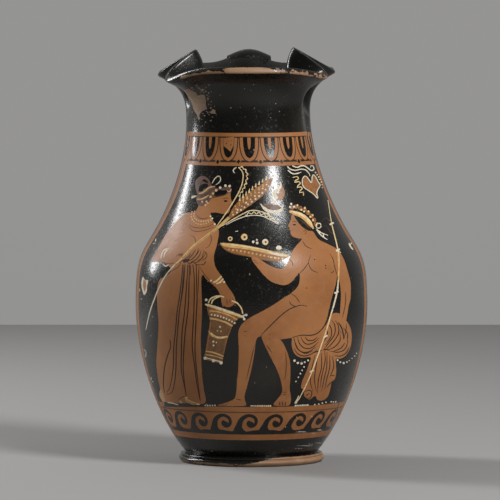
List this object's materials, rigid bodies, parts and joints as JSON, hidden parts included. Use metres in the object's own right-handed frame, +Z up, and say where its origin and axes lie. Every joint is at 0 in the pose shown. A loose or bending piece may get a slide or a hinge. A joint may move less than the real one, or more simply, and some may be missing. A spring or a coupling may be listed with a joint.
{
  "type": "oinochoe",
  "caption": "Trefoil-mouthed wine jug with an ovoid body, ring foot and strap handle, black gloss over orange clay with painted figures, for holding and pouring wine.",
  "frame": {"origin": "centre of the resting ring under the foot, on the surface the jug stands on", "axes": "+Z up, the front lobe of the mouth and the painted panel face -Y, the handle is at +Y"},
  "size_m": [0.1326, 0.1322, 0.2357],
  "materials": {
    "black_gloss_ware": "semi-gloss black slip over orange-brown clay, with the figures and borders left in the clay colour and details in white, yellow and brown"
  },
  "bodies": {
    "root": {"oinochoe": "black_gloss_ware"}
  },
  "joints": []
}
